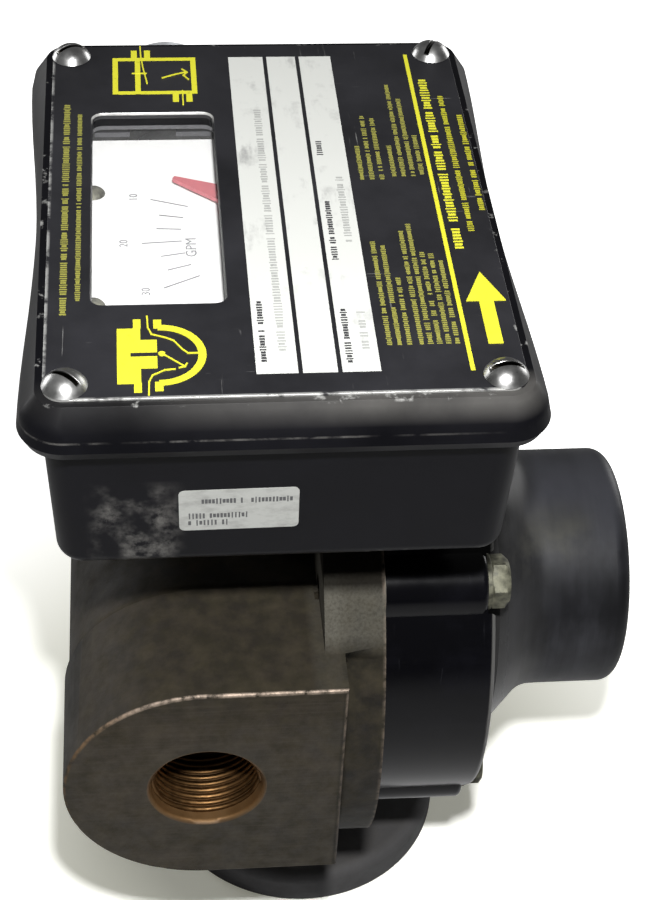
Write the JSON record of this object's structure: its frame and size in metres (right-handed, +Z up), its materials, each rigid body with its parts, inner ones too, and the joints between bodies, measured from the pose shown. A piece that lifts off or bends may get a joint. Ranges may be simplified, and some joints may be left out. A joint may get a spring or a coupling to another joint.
{
  "type": "flow monitor",
  "caption": "Piston-type flow monitor with a bronze angle body, black spring cap, and a box on top with a windowed dial, pointer and alarm switch.",
  "frame": {"origin": "centre of the outlet port's mouth, at the foot that the part stands on", "axes": "+Z up along the spindle, inlet port faces -Y, spring cap points along +X"},
  "size_m": [0.143, 0.1609, 0.2104],
  "materials": {
    "bronze": "dark patina",
    "cut_bronze": "machined",
    "black_plastic": "moulded",
    "black_paint": "satin paint",
    "face_print": "printed satin",
    "zinc": "zinc plated",
    "chrome": "bright",
    "steel": "turned",
    "brass": "turned",
    "rubber": "matte",
    "fibre": "pressed sheet",
    "dial_white": "matte enamel",
    "pointer_red": "gloss enamel",
    "clear": "polished sheet",
    "phenolic": "moulded",
    "aluminium": "die cast",
    "spring_steel": "drawn wire"
  },
  "bodies": {
    "housing": {"meter_body": "bronze", "seat_ring": "brass", "cap_gasket": "fibre", "spring_cap": "black_plastic", "cap_washers": "zinc", "cap_bolts": "zinc", "spring_seat": "steel", "range_spring": "spring_steel", "bearing_carrier": "cut_bronze", "lower_bushing": "brass", "shaft_seal": "rubber", "gland_nut": "brass", "box_base": "black_paint", "base_gasket": "rubber", "base_screws": "zinc", "ground_screw": "brass", "cover_gasket": "rubber", "box_cover": "black_paint", "face_plate": "face_print", "cover_screws": "chrome", "window_gasket": "rubber", "window_pane": "clear", "pane_clips": "steel", "pane_clip_screws": "zinc", "dial_plate": "dial_white", "dial_posts": "aluminium", "dial_screws": "zinc", "switch_body": "phenolic", "switch_bracket": "zinc", "switch_screws": "zinc", "bracket_screws": "zinc", "switch_terminals": "brass", "terminal_block": "phenolic", "terminal_screws": "brass", "conduit_hub": "aluminium", "conduit_locknut": "zinc"},
    "piston": {"piston": "brass", "piston_ring": "fibre"},
    "spindle": {"pointer_shaft": "steel", "crank_arm": "steel", "crank_pin": "steel", "shaft_clip": "spring_steel", "cam": "phenolic", "cam_screw": "steel", "pointer_hub": "brass", "pointer": "pointer_red", "pointer_nut": "brass"},
    "plunger": {"switch_plunger": "pointer_red"}
  },
  "joints": [
    {"name": "piston_stroke", "type": "slide", "parent": "housing", "child": "piston", "axis": [1, 0, 0], "range_m": [0, 0.01147], "deforming": ["range_spring"]},
    {"name": "spindle_turn", "type": "hinge", "parent": "housing", "child": "spindle", "pos_m": [0, 0, 0.111], "axis": [0, 0, 1], "range_deg": [0, 70]},
    {"name": "switch_press", "type": "slide", "parent": "housing", "child": "plunger", "axis": [0, 1, 0], "range_m": [0, 0.0012]}
  ],
  "couplings": [
    {"joint": "spindle_turn", "follows": "piston_stroke", "rad_per_m": 106.5},
    {"joint": "switch_press", "follows": "piston_stroke", "ratio": 0.10461}
  ]
}
